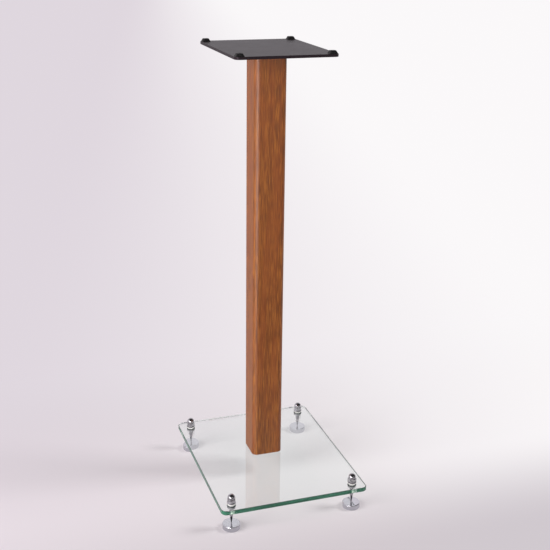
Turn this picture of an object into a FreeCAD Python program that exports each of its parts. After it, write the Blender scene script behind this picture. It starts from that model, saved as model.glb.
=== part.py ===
import FreeCAD, Part
import math
import os

# Speaker stand: a veneered square column stands on a glass base with four levelling spikes
# and carries a small steel plate for the speaker. One central tie rod clamps glass, column
# and plate together. Millimetres, +Z up, +Y to the back.
# Origin: on the floor, under the middle of the glass base.

# ---- glass base ----
BASE_WIDTH = 256.0              # along X
BASE_DEPTH = 316.0              # along Y
BASE_CORNER_RADIUS = 10.0
GLASS_THICKNESS = 8.0
GLASS_ARRIS = 0.7               # ground bevel along every edge
GLASS_CLEARANCE = 39.0          # floor to the underside of the glass

# ---- column ----
COLUMN_WIDTH = 54.0             # both ways, over the veneer
COLUMN_LENGTH = 707.5
COLUMN_CORNER_RADIUS = 9.0
COLUMN_SETBACK = 25.0           # column axis behind the middle of the base
VENEER_THICKNESS = 0.6
BOARD_THICKNESS = 12.0
END_BLOCK_LENGTH = 40.0
GASKET_THICKNESS = 0.75
GASKET_INSET = 1.5              # gasket edge inside the column's outline

# ---- top plate and its pads ----
PLATE_WIDTH = 165.0             # along X
PLATE_DEPTH = 210.0             # along Y
PLATE_THICKNESS = 4.5
PLATE_CORNER_RADIUS = 8.0
PLATE_EDGE_RADIUS = 0.5
PAD_BASE = 14.0                 # square foot of the tapered pad
PAD_TOP = 9.0
PAD_HEIGHT = 4.5
PAD_CORNER_RADIUS = 2.5
PAD_INSET = 1.8                 # pad foot inside the plate's edges
SPIGOT_LENGTH = 25.0
SPIGOT_GAP = 0.15               # round the spigot in the hollow column

# ---- central tie rod and the sleeve nut under the glass ----
ROD_THREAD = 10.0
ROD_END_MARGIN = 1.0            # rod end short of the bottom of a threaded hole
ROD_END_CHAMFER = 1.0
BASE_NUT_WALL = 1.5             # barrel wall round the rod's thread
BASE_NUT_BARREL = 30.0          # barrel length above the head
BASE_NUT_HEAD_DIAMETER = 28.0
BASE_NUT_HEAD_HEIGHT = 3.0
BASE_NUT_SOCKET = 8.0           # hexagon key, across flats
BASE_NUT_SOCKET_DEPTH = 4.5
BASE_NUT_WEB = 1.5              # metal between the key socket and the threaded hole
BASE_WASHER_DIAMETER = 32.0
BASE_WASHER_THICKNESS = 1.5
BASE_BUSH_WALL = 1.0

# ---- levelling spikes ----
FOOT_INSET = 21.0               # spike axis inside the glass edges, both ways
SPIKE_THREAD = 8.0
SPIKE_ABOVE_GLASS = 9.0         # shank end above the top of the glass
SPIKE_CONE_LENGTH = 23.0
SPIKE_TIP_RADIUS = 0.75
SPIKE_END_CHAMFER = 0.8
SLEEVE_WALL = 1.0               # barrel wall round the spike's thread
SLEEVE_HEAD_HEIGHT = 3.0
SLEEVE_SHORTFALL = 0.5          # barrel end below the top of the glass
BUSH_WALL = 0.8
BUSH_SHORTFALL = 0.25           # bush end below the top of the glass
WASHER_DIAMETER = 15.0
WASHER_HOLE_PLAY = 0.2          # round the spike, in the two upper washers
LOWER_WASHER_THICKNESS = 1.0
UPPER_WASHER_THICKNESS = 1.0
STEEL_WASHER_THICKNESS = 1.6

# ---- dome nuts ----
NUT_ACROSS_FLATS = 13.0
NUT_HEIGHT = 15.0
NUT_HEX_HEIGHT = 6.5
NUT_DOME_DIAMETER = 12.5
NUT_THREAD_DEPTH = 11.0
NUT_CORNER_BEVEL = 30.0         # degrees, on the hexagon's corners
DRILL_POINT = 118.0             # degrees, at the bottom of the blind hole

# ---- floor discs ----
DISC_DIAMETER = 30.0
DISC_HEIGHT = 9.5               # without the felt
DISC_EDGE_RADIUS = 1.2
DIMPLE_DIAMETER = 3.2           # hollow in the flat top, under the spike's tip
DIMPLE_DEPTH = 0.6
TIP_GAP = 0.3                   # spike tip above the bottom of the dimple
FELT_DIAMETER = 25.6
FELT_THICKNESS = 1.2
FELT_PROUD = 0.5                # felt below the disc's underside
FELT_GAP = 0.2                  # round the felt in its recess

# ---- fits ----
THREAD_GAP = 0.05               # radial, between a thread and its nut
BARREL_GAP = 0.1                # radial, round barrels and bushes

# How far each dome nut happens to be turned, in degrees.
NUT_TURNS = {
    "front_left": 12.0,
    "front_right": 40.0,
    "back_left": 25.0,
    "back_right": 3.0,
}

# ---- levels, from the floor up ----
GLASS_TOP = GLASS_CLEARANCE + GLASS_THICKNESS
COLUMN_BOTTOM = GLASS_TOP + GASKET_THICKNESS
COLUMN_TOP = COLUMN_BOTTOM + COLUMN_LENGTH
PLATE_BOTTOM = COLUMN_TOP + GASKET_THICKNESS
PLATE_TOP = PLATE_BOTTOM + PLATE_THICKNESS
DISC_TOP = FELT_PROUD + DISC_HEIGHT
DIMPLE_BOTTOM = DISC_TOP - DIMPLE_DEPTH

# ---- sizes that follow ----
CORE_WIDTH = COLUMN_WIDTH - 2 * VENEER_THICKNESS
CORE_CORNER_RADIUS = COLUMN_CORNER_RADIUS - VENEER_THICKNESS
HOLLOW_WIDTH = CORE_WIDTH - 2 * BOARD_THICKNESS
SLEEVE_RADIUS = SPIKE_THREAD / 2 + SLEEVE_WALL
BUSH_BORE_RADIUS = SLEEVE_RADIUS + BARREL_GAP
BUSH_RADIUS = BUSH_BORE_RADIUS + BUSH_WALL
FOOT_HOLE_RADIUS = BUSH_RADIUS + BARREL_GAP
BASE_BARREL_RADIUS = ROD_THREAD / 2 + BASE_NUT_WALL
BASE_BUSH_BORE_RADIUS = BASE_BARREL_RADIUS + BARREL_GAP
BASE_BUSH_RADIUS = BASE_BUSH_BORE_RADIUS + BASE_BUSH_WALL
BASE_HOLE_RADIUS = BASE_BUSH_RADIUS + BARREL_GAP
BASE_NUT_SEAT = GLASS_CLEARANCE - BASE_WASHER_THICKNESS
BASE_BARREL_TOP = BASE_NUT_SEAT + BASE_NUT_BARREL
ROD_RADIUS = ROD_THREAD / 2 - THREAD_GAP
UP = FreeCAD.Vector(0, 0, 1)


def cylinder(radius, bottom, top):
    """Upright cylinder on the Z axis."""
    return Part.makeCylinder(radius, top - bottom, FreeCAD.Vector(0, 0, bottom), UP)


def ring(outer_radius, inner_radius, bottom, top):
    """Washer, bush or tube on the Z axis."""
    return cylinder(outer_radius, bottom, top).cut(cylinder(inner_radius, bottom, top))


def rectangle_wire(width, depth, radius, level):
    """Closed rectangle round the Z axis with rounded corners."""
    if radius <= 0:
        half_x, half_y = width / 2, depth / 2
        signs = ((-1, -1), (1, -1), (1, 1), (-1, 1), (-1, -1))
        return Part.makePolygon([FreeCAD.Vector(i * half_x, j * half_y, level) for i, j in signs])
    inner_x, inner_y = width / 2 - radius, depth / 2 - radius
    edges = []
    for quarter, (i, j) in enumerate(((1, 1), (-1, 1), (-1, -1), (1, -1))):
        points = []
        for step in range(3):
            angle = math.radians(90 * quarter + 45 * step)
            x = i * inner_x + radius * math.cos(angle)
            y = j * inner_y + radius * math.sin(angle)
            points.append(FreeCAD.Vector(x, y, level))
        if edges:
            edges.append(Part.LineSegment(edges[-1].Vertexes[-1].Point, points[0]).toShape())
        edges.append(Part.Arc(*points).toShape())
    edges.append(Part.LineSegment(edges[-1].Vertexes[-1].Point, edges[0].Vertexes[0].Point).toShape())
    return Part.Wire(edges)


def bar(width, depth, radius, bottom, top):
    """Upright rectangular bar round the Z axis with rounded corners."""
    face = Part.Face(rectangle_wire(width, depth, radius, bottom))
    return face.extrude(FreeCAD.Vector(0, 0, top - bottom))


def hexagon(across_flats, bottom, top):
    """Upright hexagonal bar on the Z axis."""
    corner_radius = across_flats / 2 / math.cos(math.radians(30))
    points = []
    for corner in range(7):
        angle = math.radians(60 * corner)
        x, y = corner_radius * math.cos(angle), corner_radius * math.sin(angle)
        points.append(FreeCAD.Vector(x, y, bottom))
    return Part.Face(Part.makePolygon(points)).extrude(FreeCAD.Vector(0, 0, top - bottom))


def turned(edges):
    """Solid of revolution about the Z axis from connected edges in the XZ half plane."""
    face = Part.Face(Part.Wire(edges))
    return face.revolve(FreeCAD.Vector(0, 0, 0), UP, 360)


def line(start, end):
    """Straight edge between two (radius, height) points."""
    return Part.LineSegment(*[FreeCAD.Vector(point[0], 0, point[1]) for point in (start, end)]).toShape()


def path(points):
    """Straight edges through (radius, height) points."""
    return [line(points[i], points[i + 1]) for i in range(len(points) - 1)]


def arc(start, middle, end):
    """Circular edge through three (radius, height) points."""
    return Part.Arc(*[FreeCAD.Vector(point[0], 0, point[1]) for point in (start, middle, end)]).toShape()


def flat_edges(shape, levels):
    """Edges that lie wholly at one of the given heights."""
    found = []
    for edge in shape.Edges:
        box = edge.BoundBox
        if box.ZLength < 1e-6 and any(abs(box.ZMin - level) < 1e-6 for level in levels):
            found.append(edge)
    return found


def at(shape, x, y):
    """Copy of a shape moved sideways."""
    moved = shape.copy()
    moved.translate(FreeCAD.Vector(x, y, 0))
    return moved


def sides(corner):
    """-1 or 1 along X and along Y, from a corner's name."""
    depth_side, width_side = corner.split("_")
    return {"left": -1, "right": 1}[width_side], {"front": -1, "back": 1}[depth_side]


def foot_place(corner):
    """Axis of a levelling spike."""
    side_x, side_y = sides(corner)
    return side_x * (BASE_WIDTH / 2 - FOOT_INSET), side_y * (BASE_DEPTH / 2 - FOOT_INSET)


def glass_base():
    """Toughened glass with a hole for each foot and one for the tie rod."""
    plate = bar(BASE_WIDTH, BASE_DEPTH, BASE_CORNER_RADIUS, GLASS_CLEARANCE, GLASS_TOP)
    for corner in NUT_TURNS:
        plate = plate.cut(at(cylinder(FOOT_HOLE_RADIUS, GLASS_CLEARANCE, GLASS_TOP), *foot_place(corner)))
    plate = plate.cut(at(cylinder(BASE_HOLE_RADIUS, GLASS_CLEARANCE, GLASS_TOP), 0, COLUMN_SETBACK))
    return plate.makeChamfer(GLASS_ARRIS, flat_edges(plate, (GLASS_CLEARANCE, GLASS_TOP)))


def column_boards():
    """Four boards, mitred together into a hollow square with rounded outer corners."""
    core = bar(CORE_WIDTH, CORE_WIDTH, CORE_CORNER_RADIUS, COLUMN_BOTTOM, COLUMN_TOP)
    core = core.cut(bar(HOLLOW_WIDTH, HOLLOW_WIDTH, 0, COLUMN_BOTTOM, COLUMN_TOP))
    points = [(0, 0), (-CORE_WIDTH, -CORE_WIDTH), (CORE_WIDTH, -CORE_WIDTH), (0, 0)]
    wire = Part.makePolygon([FreeCAD.Vector(x, y, COLUMN_BOTTOM) for x, y in points])
    wedge = Part.Face(wire).extrude(FreeCAD.Vector(0, 0, COLUMN_LENGTH))
    boards = {}
    for quarter, side in enumerate(("front", "right", "back", "left")):
        slice_of_core = wedge.copy()
        slice_of_core.rotate(FreeCAD.Vector(0, 0, 0), UP, 90 * quarter)
        boards[side + "_board"] = at(core.common(slice_of_core), 0, COLUMN_SETBACK)
    return boards


def veneer_wrap():
    """Thin veneer sleeve glued round the four boards."""
    outside = bar(COLUMN_WIDTH, COLUMN_WIDTH, COLUMN_CORNER_RADIUS, COLUMN_BOTTOM, COLUMN_TOP)
    inside = bar(CORE_WIDTH, CORE_WIDTH, CORE_CORNER_RADIUS, COLUMN_BOTTOM, COLUMN_TOP)
    return at(outside.cut(inside), 0, COLUMN_SETBACK)


def column_gasket(bottom, opening):
    """Thin sheet between the column and the glass or plate it is clamped against."""
    outline = COLUMN_WIDTH - 2 * GASKET_INSET
    radius = COLUMN_CORNER_RADIUS - GASKET_INSET
    sheet = bar(outline, outline, radius, bottom, bottom + GASKET_THICKNESS)
    return at(sheet.cut(opening), 0, COLUMN_SETBACK)


def base_gasket():
    """Gasket on the glass, with a round hole for the sleeve nut's barrel."""
    hole = cylinder(BASE_BUSH_BORE_RADIUS, GLASS_TOP, COLUMN_BOTTOM)
    return column_gasket(GLASS_TOP, hole)


def top_gasket():
    """Gasket under the top plate, with a square opening round the spigot."""
    opening = bar(HOLLOW_WIDTH, HOLLOW_WIDTH, 0, COLUMN_TOP, PLATE_BOTTOM)
    return column_gasket(COLUMN_TOP, opening)


def bottom_end_block():
    """Block glued into the foot of the column, bored for the barrel and the rod."""
    top = COLUMN_BOTTOM + END_BLOCK_LENGTH
    block = bar(HOLLOW_WIDTH, HOLLOW_WIDTH, 0, COLUMN_BOTTOM, top)
    block = block.cut(cylinder(BASE_BUSH_BORE_RADIUS, COLUMN_BOTTOM, BASE_BARREL_TOP + ROD_END_MARGIN))
    block = block.cut(cylinder(ROD_THREAD / 2 + BARREL_GAP, COLUMN_BOTTOM, top))
    return at(block, 0, COLUMN_SETBACK)


def base_sleeve_nut():
    """Flat-headed barrel nut that draws the tie rod down through the glass."""
    head_bottom = BASE_NUT_SEAT - BASE_NUT_HEAD_HEIGHT
    socket_top = head_bottom + BASE_NUT_SOCKET_DEPTH
    nut = cylinder(BASE_NUT_HEAD_DIAMETER / 2, head_bottom, BASE_NUT_SEAT)
    nut = nut.makeFillet(BASE_NUT_HEAD_HEIGHT / 4, flat_edges(nut, (head_bottom,)))
    nut = nut.fuse(cylinder(BASE_BARREL_RADIUS, BASE_NUT_SEAT, BASE_BARREL_TOP))
    nut = nut.cut(hexagon(BASE_NUT_SOCKET, head_bottom, socket_top))
    nut = nut.cut(cylinder(ROD_THREAD / 2, socket_top + BASE_NUT_WEB, BASE_BARREL_TOP))
    return at(nut, 0, COLUMN_SETBACK)


def tie_rod():
    """Threaded rod from the sleeve nut up into the spigot."""
    nut_hole_bottom = BASE_NUT_SEAT - BASE_NUT_HEAD_HEIGHT + BASE_NUT_SOCKET_DEPTH + BASE_NUT_WEB
    bottom = nut_hole_bottom + ROD_END_MARGIN
    top = PLATE_BOTTOM - ROD_END_MARGIN
    rod = cylinder(ROD_RADIUS, bottom, top)
    return at(rod.makeChamfer(ROD_END_CHAMFER, flat_edges(rod, (bottom, top))), 0, COLUMN_SETBACK)


def top_spigot():
    """Square plug welded under the plate, threaded for the rod, that keys it to the column."""
    width = HOLLOW_WIDTH - 2 * SPIGOT_GAP
    plug = bar(width, width, 0, PLATE_BOTTOM - SPIGOT_LENGTH, PLATE_BOTTOM)
    plug = plug.cut(cylinder(ROD_THREAD / 2, PLATE_BOTTOM - SPIGOT_LENGTH, PLATE_BOTTOM))
    return at(plug, 0, COLUMN_SETBACK)


def top_plate():
    """Steel plate that carries the speaker."""
    plate = bar(PLATE_WIDTH, PLATE_DEPTH, PLATE_CORNER_RADIUS, PLATE_BOTTOM, PLATE_TOP)
    plate = plate.makeFillet(PLATE_EDGE_RADIUS, flat_edges(plate, (PLATE_BOTTOM, PLATE_TOP)))
    return at(plate, 0, COLUMN_SETBACK)


def speaker_pad(corner):
    """Tapered square rubber pad on a corner of the plate."""
    side_x, side_y = sides(corner)
    foot = rectangle_wire(PAD_BASE, PAD_BASE, PAD_CORNER_RADIUS, PLATE_TOP)
    top_radius = PAD_CORNER_RADIUS * PAD_TOP / PAD_BASE
    top = rectangle_wire(PAD_TOP, PAD_TOP, top_radius, PLATE_TOP + PAD_HEIGHT)
    pad = Part.makeLoft([foot, top], True, True)
    x = side_x * (PLATE_WIDTH / 2 - PAD_INSET - PAD_BASE / 2)
    y = side_y * (PLATE_DEPTH / 2 - PAD_INSET - PAD_BASE / 2)
    return at(pad, x, COLUMN_SETBACK + y)


def spike():
    """Threaded shank that ends in a long cone with a rounded tip."""
    tip = DIMPLE_BOTTOM + TIP_GAP
    radius = SPIKE_THREAD / 2 - THREAD_GAP
    end = GLASS_TOP + SPIKE_ABOVE_GLASS
    shoulder = (SPIKE_TIP_RADIUS, tip + SPIKE_TIP_RADIUS)
    half = math.sqrt(0.5) * SPIKE_TIP_RADIUS
    rounded = arc((0, tip), (half, tip + SPIKE_TIP_RADIUS - half), shoulder)
    side = path([
        shoulder,
        (radius, tip + SPIKE_CONE_LENGTH),
        (radius, end - SPIKE_END_CHAMFER),
        (radius - SPIKE_END_CHAMFER, end),
        (0, end),
        (0, tip),
    ])
    return turned([rounded] + side)


def spike_sleeve():
    """Threaded barrel in the glass, with a thin hexagon head underneath."""
    seat = GLASS_CLEARANCE - LOWER_WASHER_THICKNESS
    sleeve = hexagon(NUT_ACROSS_FLATS, seat - SLEEVE_HEAD_HEIGHT, seat)
    sleeve = sleeve.fuse(cylinder(SLEEVE_RADIUS, seat, GLASS_TOP - SLEEVE_SHORTFALL))
    return sleeve.cut(cylinder(SPIKE_THREAD / 2, seat - SLEEVE_HEAD_HEIGHT, GLASS_TOP))


def dome_nut(bottom):
    """Blind hexagon nut under a polished dome, free inside for the shank's travel."""
    hex_top = bottom + NUT_HEX_HEIGHT
    dome_radius = NUT_DOME_DIAMETER / 2
    corner_radius = NUT_ACROSS_FLATS / 2 / math.cos(math.radians(30))
    flat_radius = NUT_ACROSS_FLATS / 2
    bevel = (corner_radius - flat_radius) * math.tan(math.radians(NUT_CORNER_BEVEL))
    envelope = turned(path([
        (0, bottom),
        (flat_radius, bottom),
        (corner_radius, bottom + bevel),
        (corner_radius, hex_top - bevel),
        (flat_radius, hex_top),
        (0, hex_top),
        (0, bottom),
    ]))
    nut = hexagon(NUT_ACROSS_FLATS, bottom, hex_top).common(envelope)
    dome_centre = bottom + NUT_HEIGHT - dome_radius
    half = math.sqrt(0.5) * dome_radius
    crown = path([(0, bottom), (dome_radius, bottom), (dome_radius, dome_centre)])
    crown.append(arc((dome_radius, dome_centre), (half, dome_centre + half), (0, bottom + NUT_HEIGHT)))
    crown.append(line((0, bottom + NUT_HEIGHT), (0, bottom)))
    nut = nut.fuse(turned(crown))
    hole_radius = SPIKE_THREAD / 2
    drill_depth = NUT_THREAD_DEPTH + hole_radius / math.tan(math.radians(DRILL_POINT / 2))
    hole = turned(path([
        (0, bottom),
        (hole_radius, bottom),
        (hole_radius, bottom + NUT_THREAD_DEPTH),
        (0, bottom + drill_depth),
        (0, bottom),
    ]))
    return nut.cut(hole)


def floor_disc():
    """Turned disc with a flat top, a round dimple for the spike and a recess for its felt."""
    radius = DISC_DIAMETER / 2
    dimple_radius = DIMPLE_DIAMETER / 2
    ball_radius = (dimple_radius ** 2 + DIMPLE_DEPTH ** 2) / (2 * DIMPLE_DEPTH)
    rise_halfway = ball_radius - math.sqrt(ball_radius ** 2 - (dimple_radius / 2) ** 2)
    recess_radius = FELT_DIAMETER / 2 + FELT_GAP
    edge = DISC_EDGE_RADIUS
    half = (1 - math.sqrt(0.5)) * edge
    side_bottom, side_top = FELT_PROUD + edge, DISC_TOP - edge
    edges = path([(0, FELT_THICKNESS), (recess_radius, FELT_THICKNESS), (recess_radius, FELT_PROUD)])
    edges.append(line((recess_radius, FELT_PROUD), (radius - edge, FELT_PROUD)))
    edges.append(arc((radius - edge, FELT_PROUD), (radius - half, FELT_PROUD + half), (radius, side_bottom)))
    edges.append(line((radius, side_bottom), (radius, side_top)))
    edges.append(arc((radius, side_top), (radius - half, DISC_TOP - half), (radius - edge, DISC_TOP)))
    edges.append(line((radius - edge, DISC_TOP), (dimple_radius, DISC_TOP)))
    dimple_halfway = (dimple_radius / 2, DIMPLE_BOTTOM + rise_halfway)
    edges.append(arc((dimple_radius, DISC_TOP), dimple_halfway, (0, DIMPLE_BOTTOM)))
    edges.append(line((0, DIMPLE_BOTTOM), (0, FELT_THICKNESS)))
    return turned(edges)


def foot_pieces(corner):
    """The pieces of one levelling foot, from the felt up to the dome nut."""
    upper_seat = GLASS_TOP + UPPER_WASHER_THICKNESS
    nut_seat = upper_seat + STEEL_WASHER_THICKNESS
    washer_radius = WASHER_DIAMETER / 2
    spike_hole = SPIKE_THREAD / 2 + WASHER_HOLE_PLAY
    lower_seat = GLASS_CLEARANCE - LOWER_WASHER_THICKNESS
    nut = dome_nut(nut_seat)
    nut.rotate(FreeCAD.Vector(0, 0, 0), UP, NUT_TURNS[corner])
    pieces = {
        "felt_pad": cylinder(FELT_DIAMETER / 2, 0, FELT_THICKNESS),
        "floor_disc": floor_disc(),
        "spike": spike(),
        "spike_sleeve": spike_sleeve(),
        "lower_washer": ring(washer_radius, BUSH_BORE_RADIUS, lower_seat, GLASS_CLEARANCE),
        "hole_bush": ring(BUSH_RADIUS, BUSH_BORE_RADIUS, GLASS_CLEARANCE, GLASS_TOP - BUSH_SHORTFALL),
        "upper_washer": ring(washer_radius, spike_hole, GLASS_TOP, upper_seat),
        "steel_washer": ring(washer_radius, spike_hole, upper_seat, nut_seat),
        "dome_nut": nut,
    }
    x, y = foot_place(corner)
    return {corner + "_" + name: at(shape, x, y) for name, shape in pieces.items()}


def base_washer():
    """Rubber washer between the glass and the head of the sleeve nut."""
    washer = ring(BASE_WASHER_DIAMETER / 2, BASE_BUSH_BORE_RADIUS, BASE_NUT_SEAT, GLASS_CLEARANCE)
    return at(washer, 0, COLUMN_SETBACK)


def base_bush():
    """Plastic bush that keeps the barrel off the edge of the glass hole."""
    bush = ring(BASE_BUSH_RADIUS, BASE_BUSH_BORE_RADIUS, GLASS_CLEARANCE, GLASS_TOP)
    return at(bush, 0, COLUMN_SETBACK)


def build():
    """Every piece of the stand by name."""
    pieces = {
        "glass_base": glass_base(),
        "base_washer": base_washer(),
        "base_bush": base_bush(),
        "base_sleeve_nut": base_sleeve_nut(),
        "base_gasket": base_gasket(),
        "bottom_end_block": bottom_end_block(),
        "tie_rod": tie_rod(),
        "veneer_wrap": veneer_wrap(),
        "top_gasket": top_gasket(),
        "top_spigot": top_spigot(),
        "top_plate": top_plate(),
    }
    pieces.update(column_boards())
    for corner in NUT_TURNS:
        pieces[corner + "_speaker_pad"] = speaker_pad(corner)
        pieces.update(foot_pieces(corner))
    return pieces


os.makedirs("parts", exist_ok=True)
for name, shape in build().items():
    shape.exportStep("parts/" + name + ".step")
    print(name, shape.isValid(), len(shape.Solids), round(shape.Volume, 1))
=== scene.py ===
import bpy
import math
from mathutils import Matrix, Vector

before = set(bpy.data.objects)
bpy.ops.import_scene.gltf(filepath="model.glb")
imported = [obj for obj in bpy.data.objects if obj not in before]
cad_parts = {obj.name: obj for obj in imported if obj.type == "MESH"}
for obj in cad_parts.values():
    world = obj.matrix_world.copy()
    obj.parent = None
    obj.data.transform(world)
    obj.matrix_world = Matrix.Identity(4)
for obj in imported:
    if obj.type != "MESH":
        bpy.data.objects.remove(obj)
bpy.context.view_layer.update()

# ---- camera: fitted to edges of the base and plate, the column's sides and its foot ----
CAMERA_AZIMUTH = math.radians(-18.8043)
CAMERA_ELEVATION = math.radians(19.7609)
CAMERA_ROLL = math.radians(0.7443)
CAMERA_PLACE = Vector((-0.4972, -1.4901, 0.9516))
FOCAL_LENGTH_PIXELS = 992.7063
IMAGE_WIDTH_PIXELS = 550
SENSOR_WIDTH = 36.0
CLIP_START = 0.01
CLIP_END = 200.0

CORNERS = ("front_left", "front_right", "back_left", "back_right")

# ---- glass: its faces are told apart by how far their normals lean from upright ----
GLASS_IOR = 1.52
EDGE_NORMAL_Z = 0.5      # a side of the glass is below this
BEVEL_NORMAL_Z = 0.95    # a ground bevel is below this and above the side's limit
EDGE_GREEN_SHARE = 0.5
BEVEL_GROUND_SHARE = 0.50

# ---- floor: colours after the photo's background, places in metres ----
FLOOR_REACH = 40.0
# the floor's colours hold painted light and shade: darker in front of the base as painted shade,
# lighter behind it towards the right as painted light
FLOOR_PAINTED_SHADE_IN_FRONT = (0.625, 0.580, 0.618, 1.0)
FLOOR_WELL_IN_FRONT = (0.800, 0.765, 0.790, 1.0)
FLOOR_BEHIND_PAINTED_LIGHT = (
    (0.0, (0.740, 0.680, 0.735)),
    (0.36, (0.835, 0.790, 0.825)),
    (1.0, (0.960, 0.940, 0.950)),
)
SLANT_OF_COLOURS = -0.21    # sideways shift for each metre towards the back

# ---- world, in levels where 1 is white ----
WORLD_COLOUR = (0.985, 0.940, 0.985, 1.0)
LEVEL_SEEN = 0.90
LEVEL_ON_SURFACES = 0.14
MIRRORED_BACKDROP = 0.85
MIRRORED_HORIZON = 0.26
MIRRORED_CEILING = 0.05
MIRRORED_KEY = 2.4
KEY_DIRECTION = (-0.951, -0.205, 0.232)    # of the key lamp's soft image, for mirrors only

LAMP_COLOUR = (1.0, 0.98, 0.96)


# ---- node trees ----
class Tree:
    """Short calls for building a material's or the world's node tree."""

    def __init__(self, owner):
        owner.use_nodes = True
        self.nodes = owner.node_tree.nodes
        self.links = owner.node_tree.links
        self.nodes.clear()

    def add(self, kind, **inputs):
        """New node; each input is a number, a colour or another node's output."""
        node = self.nodes.new(kind)
        for name, value in inputs.items():
            self.set(node, name.replace("_", " "), value)
        return node

    def set(self, node, name, value):
        """Link or set the input with a name or an index."""
        socket = node.inputs[name]
        if isinstance(value, bpy.types.NodeSocket):
            self.links.new(value, socket)
        else:
            socket.default_value = value

    def math(self, operation, first, second=0.0, third=0.0, clamp=False):
        node = self.nodes.new("ShaderNodeMath")
        node.operation = operation
        node.use_clamp = clamp
        for index, value in enumerate((first, second, third)):
            self.set(node, index, value)
        return node.outputs[0]

    def smooth_step(self, value, low, high, start=0.0, end=1.0):
        """From start, where the value is low, to end, where it is high."""
        node = self.nodes.new("ShaderNodeMapRange")
        node.interpolation_type = "SMOOTHSTEP"
        for name, given in (("Value", value), ("From Min", low), ("From Max", high),
                            ("To Min", start), ("To Max", end)):
            self.set(node, name, given)
        return node.outputs["Result"]

    def mix_colour(self, factor, first, second):
        node = self.nodes.new("ShaderNodeMix")
        node.data_type = "RGBA"
        self.set(node, 0, factor)
        self.set(node, 6, first)
        self.set(node, 7, second)
        return node.outputs[2]

    def mix_shader(self, factor, first, second):
        node = self.nodes.new("ShaderNodeMixShader")
        for index, value in enumerate((factor, first, second)):
            self.set(node, index, value)
        return node.outputs[0]

    def scaled_place(self, scale):
        """The place on the object in metres, times a number along each axis."""
        place = self.nodes.new("ShaderNodeTexCoord").outputs["Object"]
        return self.add("ShaderNodeMapping", Vector=place, Scale=scale).outputs["Vector"]

    def noise(self, scale, detail=2.0, roughness=0.5, distortion=0.0):
        """Noise with so many cells per metre along each axis."""
        node = self.add("ShaderNodeTexNoise", Vector=self.scaled_place(scale), Scale=1.0,
                        Detail=detail, Roughness=roughness, Distortion=distortion)
        return node.outputs["Fac"]

    def bump(self, height, distance, strength=1.0):
        node = self.add("ShaderNodeBump", Height=height, Distance=distance, Strength=strength)
        return node.outputs["Normal"]

    def ramp(self, factor, stops):
        """Colour ramp from (place, colour) stops."""
        node = self.add("ShaderNodeValToRGB", Fac=factor)
        elements = node.color_ramp.elements
        while len(elements) < len(stops):
            elements.new(0.5)
        for element, (place, colour) in zip(elements, stops):
            element.position = place
            element.color = (*colour, 1.0)
        return node.outputs["Color"]

    def principled(self, **inputs):
        return self.add("ShaderNodeBsdfPrincipled", **inputs).outputs[0]

    def finish(self, surface, volume=None):
        output = self.add("ShaderNodeOutputMaterial", Surface=surface)
        if volume is not None:
            self.links.new(volume, output.inputs["Volume"])


def material_tree(name):
    material = bpy.data.materials.new(name)
    return material, Tree(material)


def grey(value):
    return (value, value, value)


# ---- materials ----
def wood_veneer():
    """Brown hardwood veneer: straight streaks up the column, short dark pores, satin lacquer."""
    material, tree = material_tree("wood_veneer_lacquered")
    bands = tree.noise((110.0, 110.0, 2.2), detail=3.0, roughness=0.55, distortion=0.15)
    streaks = tree.noise((520.0, 520.0, 17.0), detail=3.0, roughness=0.6, distortion=0.1)
    hairs = tree.noise((1000.0, 1000.0, 34.0), detail=2.0, roughness=0.6)
    # the three are summed by share, centred on a half and then spread about it
    band_share, streak_share, hair_share, contrast = 0.25, 0.60, 0.80, 1.75
    off_centre = (band_share + streak_share + hair_share - 1.0) / 2.0
    figure = tree.math("MULTIPLY", streaks, streak_share)
    figure = tree.math("MULTIPLY_ADD", bands, band_share, figure)
    figure = tree.math("SUBTRACT", figure, off_centre)
    figure = tree.math("MULTIPLY_ADD", hairs, hair_share, figure)
    figure = tree.math("MULTIPLY_ADD", figure, contrast, (1.0 - contrast) / 2.0)
    colour = tree.ramp(figure, (
        (0.28, (0.104, 0.027, 0.002)),
        (0.44, (0.168, 0.044, 0.003)),
        (0.56, (0.216, 0.061, 0.005)),
        (0.72, (0.292, 0.098, 0.012)),
    ))
    blush = tree.noise((75.0, 75.0, 5.0))
    blush_share = tree.smooth_step(blush, 0.44, 0.60, end=0.4)
    colour = tree.mix_colour(blush_share, colour, (0.212, 0.048, 0.006, 1.0))
    pores = tree.noise((1500.0, 1500.0, 48.0), detail=1.0)
    in_pore = tree.smooth_step(pores, 0.60, 0.68)
    pore_share = tree.math("MULTIPLY", in_pore, 0.45)
    colour = tree.mix_colour(pore_share, colour, (0.080, 0.026, 0.009, 1.0))
    height = tree.math("MULTIPLY_ADD", in_pore, -1.0, tree.math("MULTIPLY", hairs, 0.35))
    tree.finish(tree.principled(
        Base_Color=colour,
        Roughness=tree.smooth_step(streaks, 0.3, 0.7, start=0.40, end=0.48),
        Normal=tree.bump(height, distance=0.00004, strength=0.6),
        Specular_IOR_Level=0.66))
    return material


def core_board():
    """Raw fibre board: pale brown with fine fibres."""
    material, tree = material_tree("core_fibre_board")
    fibres = tree.noise((900.0, 900.0, 900.0), detail=4.0, roughness=0.7)
    tree.finish(tree.principled(
        Base_Color=tree.ramp(fibres, ((0.3, (0.30, 0.19, 0.10)), (0.7, (0.46, 0.32, 0.19)))),
        Roughness=0.85,
        Normal=tree.bump(fibres, distance=0.0001)))
    return material


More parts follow.
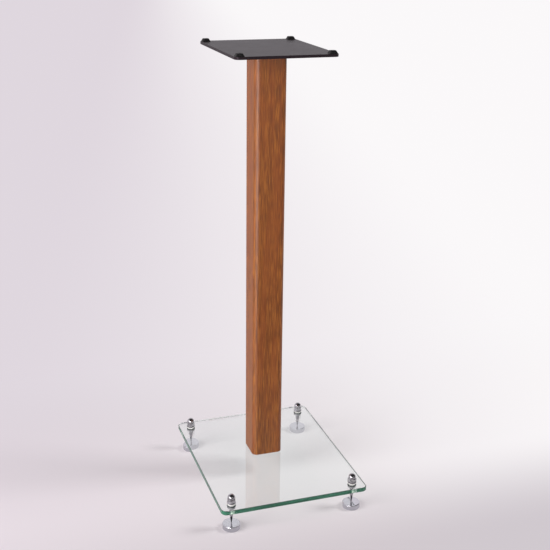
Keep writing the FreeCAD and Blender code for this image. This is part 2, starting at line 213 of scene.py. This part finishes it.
def black_steel():
    """Fine black powder coat, slightly grained."""
    material, tree = material_tree("black_powder_coat")
    peel = tree.noise((1400.0, 1400.0, 1400.0), detail=3.0, roughness=0.6)
    cloud = tree.noise((45.0, 45.0, 45.0), detail=3.0, roughness=0.6)
    tree.finish(tree.principled(
        Base_Color=tree.ramp(peel, ((0.35, (0.008, 0.006, 0.007)), (0.70, (0.020, 0.013, 0.016)))),
        Roughness=tree.smooth_step(cloud, 0.3, 0.7, start=0.40, end=0.42),
        Normal=tree.bump(peel, distance=0.00006, strength=0.5),
        Specular_IOR_Level=0.19,
        Specular_Tint=(1.0, 0.82, 1.0, 1.0)))
    return material


def chrome():
    """Bright plating with a trace of haze and fine turning lines; its colour is darker than the
    discs' copy, as painted shade.
    """
    material, tree = material_tree("polished_chrome")
    haze = tree.noise((260.0, 260.0, 260.0), detail=3.0, roughness=0.6)
    turning = tree.noise((60.0, 60.0, 2600.0), detail=1.0)
    tree.finish(tree.principled(
        # painted shade: the plating's colour is set darker than the discs' copy of the same chrome
        Base_Color=tree.ramp(haze, ((0.3, (0.42, 0.41, 0.43)), (0.7, (0.50, 0.49, 0.51)))),
        Roughness=tree.smooth_step(haze, 0.35, 0.75, start=0.045, end=0.10),
        Normal=tree.bump(turning, distance=0.000004, strength=0.4),
        Metallic=1.0))
    return material


def disc_chrome():
    """The floor discs' plating, lighter than the nuts' copy, whose colour is darkened as painted
    shade; flat and mirror-like under a thin haze.
    """
    material, tree = material_tree("disc_chrome")
    haze = tree.noise((180.0, 180.0, 180.0), detail=3.0, roughness=0.6)
    tree.finish(tree.principled(
        Base_Color=tree.ramp(haze, ((0.3, (0.62, 0.62, 0.66)), (0.7, (0.70, 0.70, 0.74)))),
        Roughness=tree.smooth_step(haze, 0.35, 0.75, start=0.06, end=0.12),
        Normal=tree.bump(haze, distance=0.00001, strength=0.3),
        Metallic=1.0))
    return material


def zinc_steel():
    """Dull bluish zinc plating."""
    material, tree = material_tree("zinc_plating")
    crystals = tree.noise((700.0, 700.0, 700.0), detail=3.0, roughness=0.65)
    tree.finish(tree.principled(
        Base_Color=tree.ramp(crystals, ((0.3, (0.44, 0.45, 0.47)), (0.7, (0.62, 0.63, 0.63)))),
        Roughness=tree.smooth_step(crystals, 0.3, 0.7, start=0.28, end=0.45),
        Normal=tree.bump(crystals, distance=0.00003, strength=0.4),
        Metallic=1.0))
    return material


def rubber():
    """Black moulded rubber with a dusty bloom."""
    material, tree = material_tree("black_rubber")
    grain = tree.noise((1800.0, 1800.0, 1800.0), detail=3.0, roughness=0.6)
    bloom = tree.noise((150.0, 150.0, 150.0), detail=3.0, roughness=0.6)
    tree.finish(tree.principled(
        Base_Color=tree.ramp(bloom, ((0.35, grey(0.007)), (0.75, (0.017, 0.016, 0.017)))),
        Roughness=tree.smooth_step(bloom, 0.3, 0.7, start=0.50, end=0.62),
        Normal=tree.bump(grain, distance=0.00005, strength=0.5),
        Specular_IOR_Level=0.25))
    return material


def nylon():
    """Natural off-white nylon."""
    material, tree = material_tree("natural_nylon")
    cloud = tree.noise((300.0, 300.0, 300.0))
    tree.finish(tree.principled(
        Base_Color=tree.ramp(cloud, ((0.3, (0.66, 0.66, 0.61)), (0.7, (0.76, 0.76, 0.72)))),
        Roughness=0.45,
        Normal=tree.bump(cloud, distance=0.00003, strength=0.4)))
    return material


def felt():
    """Dense dark grey felt."""
    material, tree = material_tree("dark_felt")
    fibres = tree.noise((2600.0, 2600.0, 1300.0), detail=4.0, roughness=0.75)
    tree.finish(tree.principled(
        Base_Color=tree.ramp(fibres, ((0.3, grey(0.018)), (0.75, grey(0.075)))),
        Roughness=0.95,
        Normal=tree.bump(fibres, distance=0.0002),
        Sheen_Weight=0.3))
    return material


def clear_glass():
    """Toughened float glass: clear through its faces, green on its sides, grey on its bevels.

    Shadow and diffuse rays pass it with hardly a tint, so that the lamps light the floor below.
    """
    material, tree = material_tree("float_glass")
    glass = tree.principled(Base_Color=(0.985, 1.0, 0.992, 1.0), Roughness=0.0, IOR=GLASS_IOR,
                            Transmission_Weight=1.0)
    glow = tree.noise((22.0, 22.0, 260.0), detail=3.0, roughness=0.6)
    green = tree.ramp(glow, ((0.35, (0.028, 0.165, 0.094)), (0.65, (0.065, 0.290, 0.180))))
    edge = tree.principled(Base_Color=green, Roughness=0.12, IOR=GLASS_IOR)
    geometry = tree.nodes.new("ShaderNodeNewGeometry")
    normal = tree.add("ShaderNodeSeparateXYZ", Vector=geometry.outputs["Normal"])
    upright = tree.math("ABSOLUTE", normal.outputs["Z"])
    on_edge = tree.math("LESS_THAN", upright, EDGE_NORMAL_Z)
    outside = tree.math("SUBTRACT", 1.0, geometry.outputs["Backfacing"])
    edge_share = tree.math("MULTIPLY", tree.math("MULTIPLY", on_edge, outside), EDGE_GREEN_SHARE)
    solid = tree.mix_shader(edge_share, glass, edge)
    not_on_face = tree.math("LESS_THAN", upright, BEVEL_NORMAL_Z)
    on_bevel = tree.math("MULTIPLY", not_on_face, tree.math("SUBTRACT", 1.0, on_edge))
    bevel_share = tree.math("MULTIPLY", on_bevel, BEVEL_GROUND_SHARE)
    ground = tree.add("ShaderNodeBsdfDiffuse", Color=(0.16, 0.19, 0.185, 1.0))
    solid = tree.mix_shader(bevel_share, solid, ground.outputs[0])
    rays = tree.nodes.new("ShaderNodeLightPath")
    passes = tree.math("MAXIMUM", rays.outputs["Is Shadow Ray"], rays.outputs["Is Diffuse Ray"])
    passing = tree.add("ShaderNodeBsdfTransparent", Color=(0.985, 0.995, 0.99, 1.0))
    absorption = tree.add("ShaderNodeVolumeAbsorption", Color=(0.30, 0.66, 0.52, 1.0), Density=6.0)
    tree.finish(tree.mix_shader(passes, solid, passing.outputs[0]), absorption.outputs[0])
    return material


def dress(node, material):
    for material_slot in node.material_slots:
        material_slot.material = material


def dress_all():
    """Each CAD node gets the finish of its slot in the record; the floor discs get a lighter copy
    of the chrome, as the other chrome's colour is darkened as painted shade.
    """
    finishes = {
        "glass": clear_glass(),
        "wood_veneer": wood_veneer(),
        "core_board": core_board(),
        "black_steel": black_steel(),
        "chrome": chrome(),
        "zinc_steel": zinc_steel(),
        "rubber": rubber(),
        "nylon": nylon(),
        "felt": felt(),
    }
    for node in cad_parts.values():
        dress(node, finishes[node.data.materials[0].name])
    disc_finish = disc_chrome()
    for corner in CORNERS:
        dress(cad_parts[corner + "_floor_disc"], disc_finish)


# ---- surroundings ----
def floor_colour(tree, place_y, across, distance):
    """Painted shade and light: darker in front of the base, lighter behind it towards the right,
    even well in front.
    """
    behind = tree.ramp(tree.smooth_step(across, -0.60, 0.90), FLOOR_BEHIND_PAINTED_LIGHT)
    behind_share = tree.smooth_step(place_y, -0.28, 0.0)
    colour = tree.mix_colour(behind_share, FLOOR_PAINTED_SHADE_IN_FRONT, behind)
    in_front = tree.smooth_step(place_y, -0.30, 0.30, start=1.0, end=0.0)
    well_in_front = tree.math("MULTIPLY", tree.smooth_step(distance, 0.60, 1.40), in_front)
    return tree.mix_colour(well_in_front, colour, FLOOR_WELL_IN_FRONT)


def floor_glow_share(tree, place_y, across, distance):
    """How far the floor that is seen glows evenly and is not lit: little by the base, all far
    off, and sooner at the right."""
    right_side = tree.smooth_step(across, 0.08, 0.40, start=0.32, end=0.85)
    towards_back = tree.smooth_step(place_y, 0.03, 0.55, start=right_side, end=1.0)
    far_off = tree.smooth_step(distance, 0.50, 1.10)
    return tree.math("MAXIMUM", towards_back, far_off)


def floor_mirror_loss(tree, place_y):
    """The share of the floor's glow that its image in metal and glass lacks."""
    by_the_base = tree.smooth_step(place_y, -0.45, -0.20, start=0.85, end=0.22)
    far_in_front = tree.smooth_step(place_y, -2.0, -1.1, start=0.45, end=1.0)
    return tree.math("MULTIPLY", by_the_base, far_in_front)


def floor():
    """Pale floor to the horizon: its colours follow the photo's background, it takes the shadows,
    glows like a backdrop away from the stand, and is clear from below."""
    mesh = bpy.data.meshes.new("studio_floor")
    reach = FLOOR_REACH
    corners = [(-reach, -reach, 0), (reach, -reach, 0), (reach, reach, 0), (-reach, reach, 0)]
    mesh.from_pydata(corners, [], [(0, 1, 2, 3)])
    plane = bpy.data.objects.new("studio_floor", mesh)
    bpy.context.scene.collection.objects.link(plane)
    material, tree = material_tree("pale_floor")
    place = tree.add("ShaderNodeSeparateXYZ", Vector=tree.scaled_place((1.0, 1.0, 1.0)))
    place_x, place_y = place.outputs["X"], place.outputs["Y"]
    across = tree.math("MULTIPLY_ADD", place_y, SLANT_OF_COLOURS, place_x)
    square_y = tree.math("MULTIPLY", place_y, place_y)
    distance = tree.math("SQRT", tree.math("MULTIPLY_ADD", place_x, place_x, square_y))
    # the floor's colour carries painted shade in front of the base and painted light behind it to
    # the right
    colour = floor_colour(tree, place_y, across, distance)
    # a ray that passes the glass counts as glossy too, so mirrored leaves it out
    rays = tree.nodes.new("ShaderNodeLightPath")
    through = rays.outputs["Is Transmission Ray"]
    mirrored = tree.math("SUBTRACT", rays.outputs["Is Glossy Ray"], through, clamp=True)
    seen = tree.math("MAXIMUM", rays.outputs["Is Camera Ray"], through)
    loss = tree.math("MULTIPLY", mirrored, floor_mirror_loss(tree, place_y))
    lit = tree.add("ShaderNodeBsdfDiffuse", Color=colour)
    glow = tree.add("ShaderNodeEmission", Color=colour, Strength=tree.math("SUBTRACT", 1.0, loss))
    seen_share = tree.math("MULTIPLY", seen, floor_glow_share(tree, place_y, across, distance))
    glow_share = tree.math("MAXIMUM", seen_share, mirrored)
    surface = tree.mix_shader(glow_share, lit.outputs[0], glow.outputs[0])
    from_below = tree.nodes.new("ShaderNodeNewGeometry").outputs["Backfacing"]
    clear = tree.nodes.new("ShaderNodeBsdfTransparent")
    tree.finish(tree.mix_shader(from_below, surface, clear.outputs[0]))
    mesh.materials.append(material)


def surrounding_light():
    """Even light for the surfaces and a pale backdrop for the camera. Metal and glass mirror a
    bright backdrop, a pale horizon, a dark ceiling and a soft image of the key lamp, which is
    hidden from them."""
    world = bpy.data.worlds.new("studio")
    bpy.context.scene.world = world
    tree = Tree(world)
    direction = tree.nodes.new("ShaderNodeTexCoord").outputs["Generated"]
    parts = tree.add("ShaderNodeSeparateXYZ", Vector=direction)
    height = parts.outputs["Z"]
    backwards = tree.math("MULTIPLY_ADD", height, -0.35, parts.outputs["Y"])
    backdrop = tree.smooth_step(backwards, -0.10, 0.50, end=MIRRORED_BACKDROP)
    overhead = tree.smooth_step(height, 0.05, 0.30, start=MIRRORED_HORIZON, end=MIRRORED_CEILING)
    towards_key = tree.nodes.new("ShaderNodeVectorMath")
    towards_key.operation = "DOT_PRODUCT"
    tree.set(towards_key, 0, direction)
    tree.set(towards_key, 1, KEY_DIRECTION)
    key_image = tree.smooth_step(towards_key.outputs["Value"], 0.86, 0.95, end=MIRRORED_KEY)
    mirrored = tree.math("MAXIMUM", tree.math("MAXIMUM", backdrop, overhead), key_image)
    rays = tree.nodes.new("ShaderNodeLightPath")
    glossy = rays.outputs["Is Glossy Ray"]
    seen = tree.math("MAXIMUM", rays.outputs["Is Camera Ray"], rays.outputs["Is Transmission Ray"])
    mirror_extra = tree.math("SUBTRACT", mirrored, LEVEL_ON_SURFACES)
    unseen_level = tree.math("MULTIPLY_ADD", mirror_extra, glossy, LEVEL_ON_SURFACES)
    seen_extra = tree.math("SUBTRACT", LEVEL_SEEN, unseen_level)
    level = tree.math("MULTIPLY_ADD", seen_extra, seen, unseen_level)
    background = tree.add("ShaderNodeBackground", Color=WORLD_COLOUR, Strength=level)
    tree.add("ShaderNodeOutputWorld", Surface=background.outputs[0])


def softbox(name, place, aim, width, height, watts, mirrored=True):
    """Rectangular area light at a place, turned towards a point."""
    light = bpy.data.lights.new(name, "AREA")
    light.shape = "RECTANGLE"
    light.size = width
    light.size_y = height
    light.energy = watts
    light.color = LAMP_COLOUR
    lamp = bpy.data.objects.new(name, light)
    lamp.location = place
    lamp.rotation_euler = (Vector(aim) - Vector(place)).to_track_quat("-Z", "Y").to_euler()
    lamp.visible_camera = False
    lamp.visible_transmission = False
    lamp.visible_glossy = mirrored
    bpy.context.scene.collection.objects.link(lamp)


def lights():
    """A large key from the left, two fills from the front left, and two from the right."""
    softbox("key_left", place=(-1.95, -0.42, 1.15), aim=(0.0, 0.0, 0.45),
            width=1.2, height=1.5, watts=44.0, mirrored=False)
    softbox("fill_front", place=(-1.35, -1.48, 0.95), aim=(0.0, 0.0, 0.60),
            width=1.2, height=0.6, watts=8.0, mirrored=False)
    softbox("low_front", place=(-1.35, -1.48, 0.19), aim=(0.0, 0.0, 0.60),
            width=1.2, height=0.3, watts=22.0)
    softbox("front_right", place=(0.75, -2.1, 0.80), aim=(0.0, 0.0, 0.65),
            width=0.8, height=0.5, watts=1.5)
    softbox("side_right", place=(1.45, -0.42, 1.35), aim=(0.0, 0.0, 0.10),
            width=0.5, height=0.6, watts=23.0, mirrored=False)


def camera():
    """The photo's view: azimuth from the front, elevation over the floor, roll about the view."""
    data = bpy.data.cameras.new("photo_view")
    data.sensor_width = SENSOR_WIDTH
    data.lens = FOCAL_LENGTH_PIXELS / IMAGE_WIDTH_PIXELS * SENSOR_WIDTH
    data.clip_start = CLIP_START
    data.clip_end = CLIP_END
    eye = bpy.data.objects.new("photo_view", data)
    a, e, r = CAMERA_AZIMUTH, CAMERA_ELEVATION, CAMERA_ROLL
    back = Vector((math.sin(a) * math.cos(e), -math.cos(a) * math.cos(e), math.sin(e)))
    level = Vector((math.cos(a), math.sin(a), 0.0))
    above = back.cross(level)
    right = math.cos(r) * level + math.sin(r) * above
    up = -math.sin(r) * level + math.cos(r) * above
    turn = Matrix((right, up, back)).transposed()
    eye.matrix_world = Matrix.Translation(CAMERA_PLACE) @ turn.to_4x4()
    bpy.context.scene.collection.objects.link(eye)
    bpy.context.scene.camera = eye


dress_all()
floor()
surrounding_light()
lights()
camera()
bpy.context.scene.view_settings.view_transform = "Standard"
